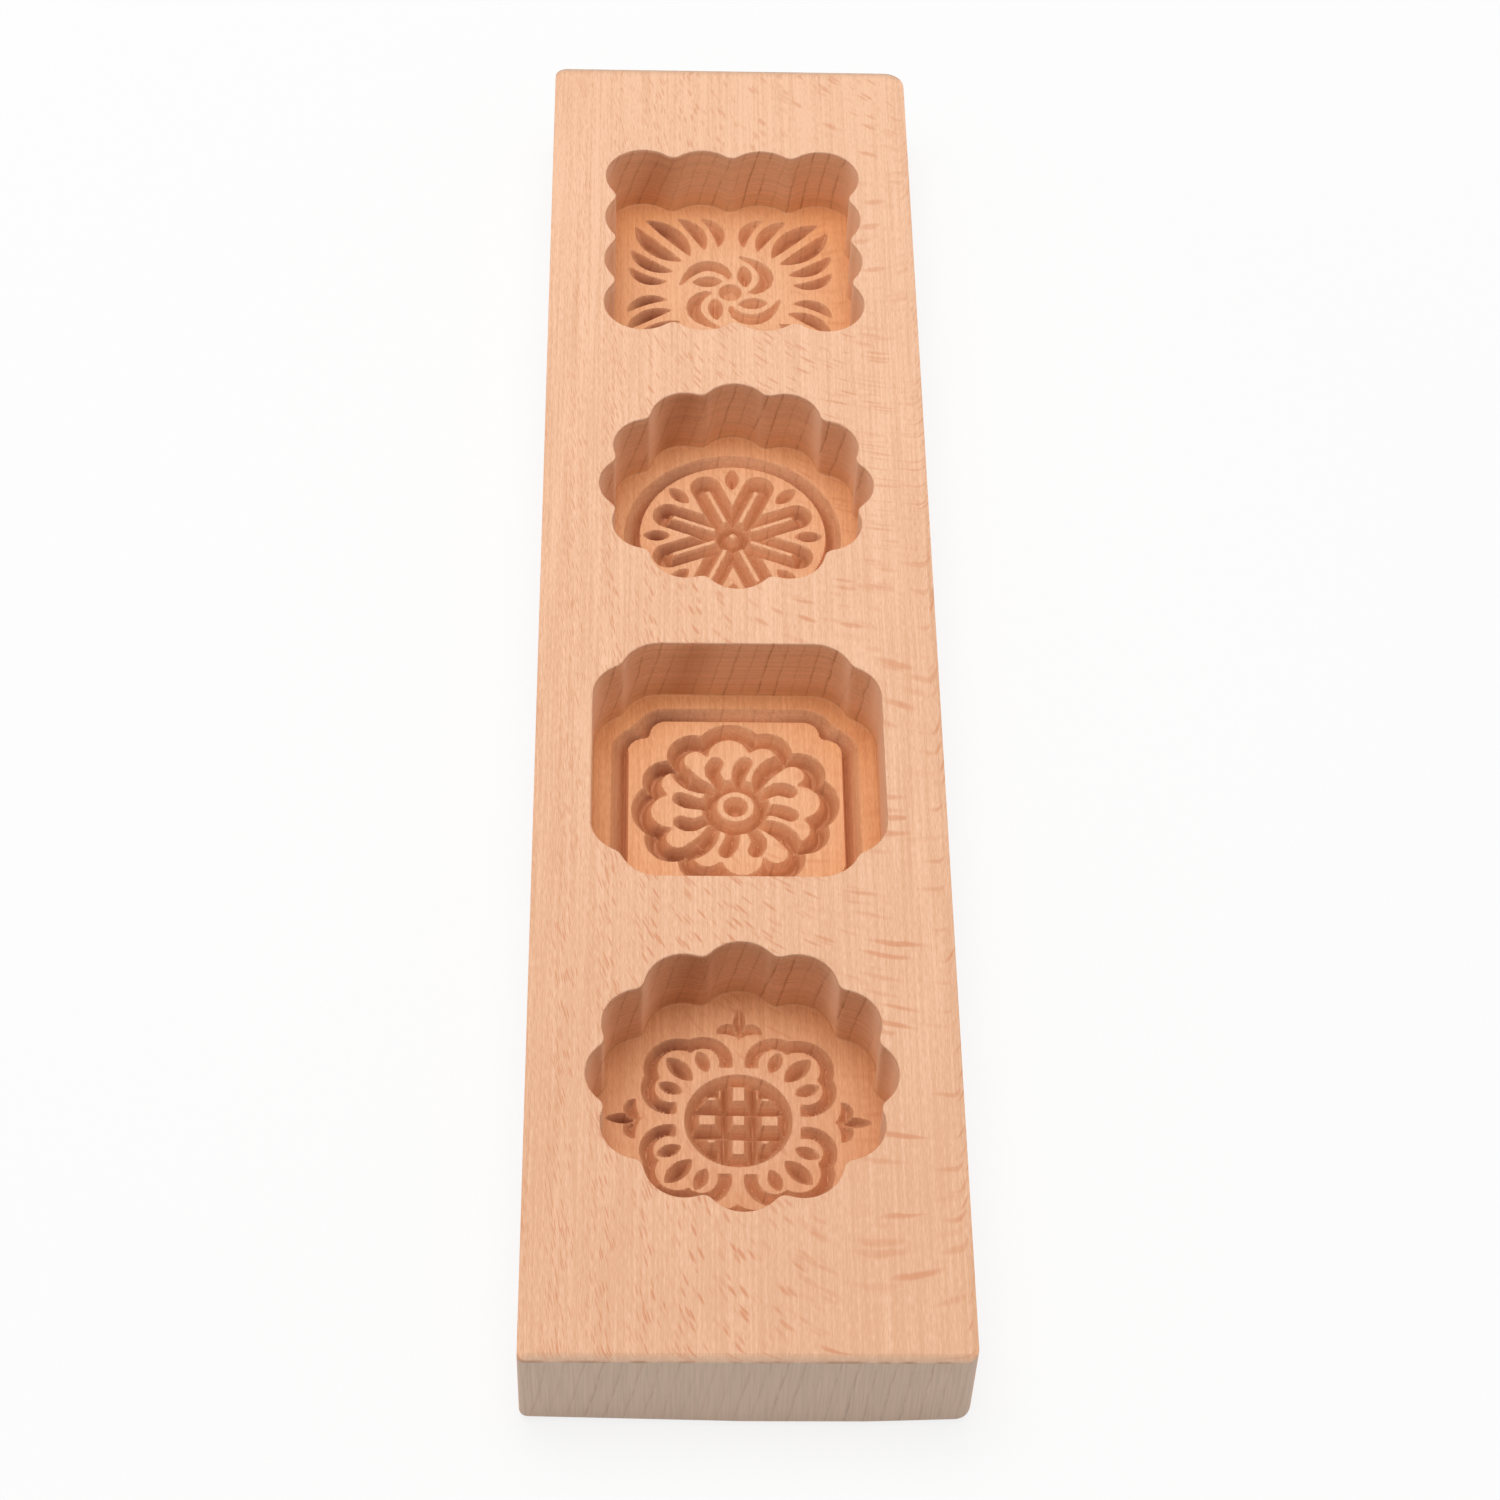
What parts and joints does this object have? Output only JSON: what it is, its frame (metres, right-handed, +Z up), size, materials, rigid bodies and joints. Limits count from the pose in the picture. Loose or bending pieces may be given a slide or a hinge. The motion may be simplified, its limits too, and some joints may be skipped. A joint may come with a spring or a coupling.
{
  "type": "wooden mooncake mold",
  "caption": "Solid wooden mold board for moon cakes, with scalloped and notched cavities whose floors are carved with flower patterns.",
  "frame": {"origin": "centre of the underside, where the board rests", "axes": "+Y along the board towards the end with the square cavity, +X across the board, +Z up out of the cavities"},
  "size_m": [0.09, 0.375, 0.025],
  "materials": {
    "beech": "bare sanded beech"
  },
  "bodies": {
    "root": {"mold_board": "beech"}
  },
  "joints": []
}
